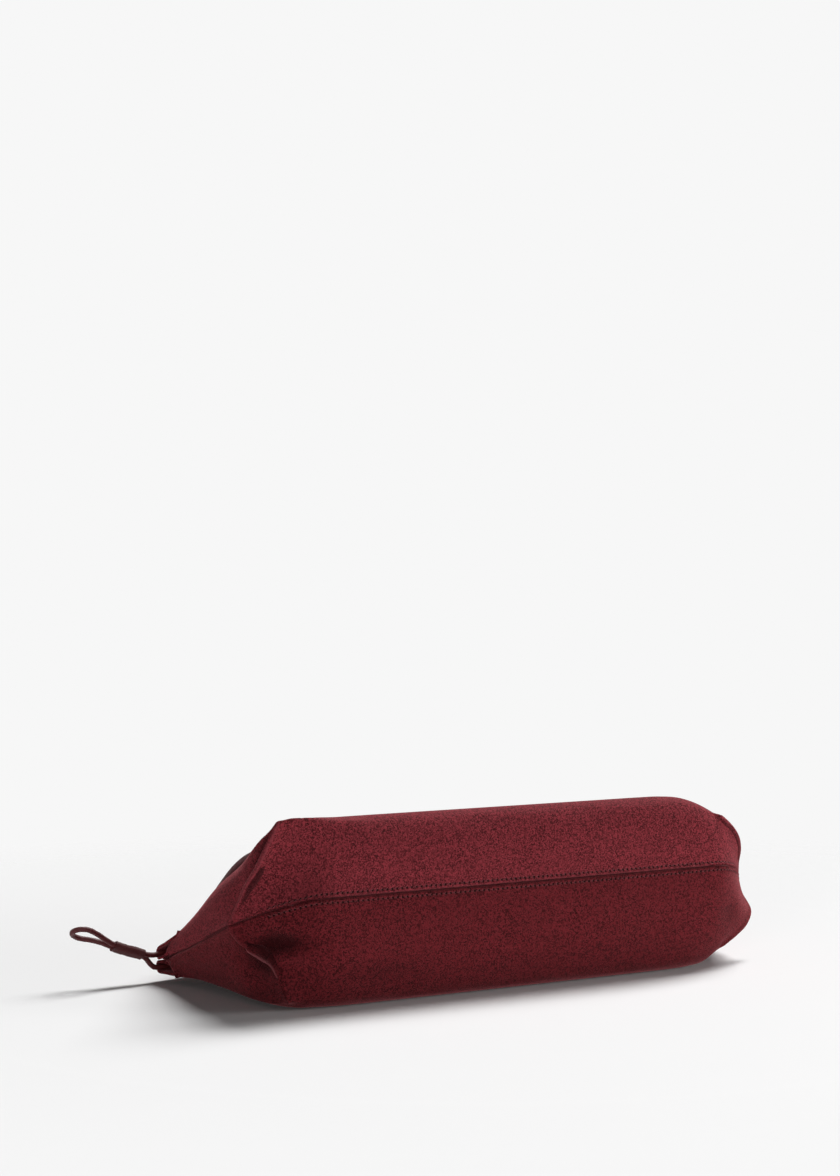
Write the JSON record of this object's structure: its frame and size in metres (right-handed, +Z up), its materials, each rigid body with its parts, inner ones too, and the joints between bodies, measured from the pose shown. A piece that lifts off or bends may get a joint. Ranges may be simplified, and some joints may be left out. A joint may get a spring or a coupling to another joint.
{
  "type": "bag",
  "caption": "Suede baguette bag lying on its back panel, with boxed ends, a drawstring loop at one end of the mouth and a leather shoulder strap",
  "frame": {"origin": "on the flat underside, halfway between base and mouth and halfway along the bag", "axes": "+X along the bag to its right end, +Y from the sewn base to the mouth, +Z up through the front panel"},
  "size_m": [0.3648, 0.1427, 0.09],
  "materials": {
    "suede": "brushed suede nap",
    "lining": "plain woven cotton",
    "cord": "smooth matt leather",
    "strap": "smooth matt leather"
  },
  "bodies": {
    "root": {"front_panel": "suede", "back_panel": "suede", "lining": "lining", "drawstring": "cord", "loop_collar": "cord", "shoulder_strap": "strap"}
  },
  "joints": []
}
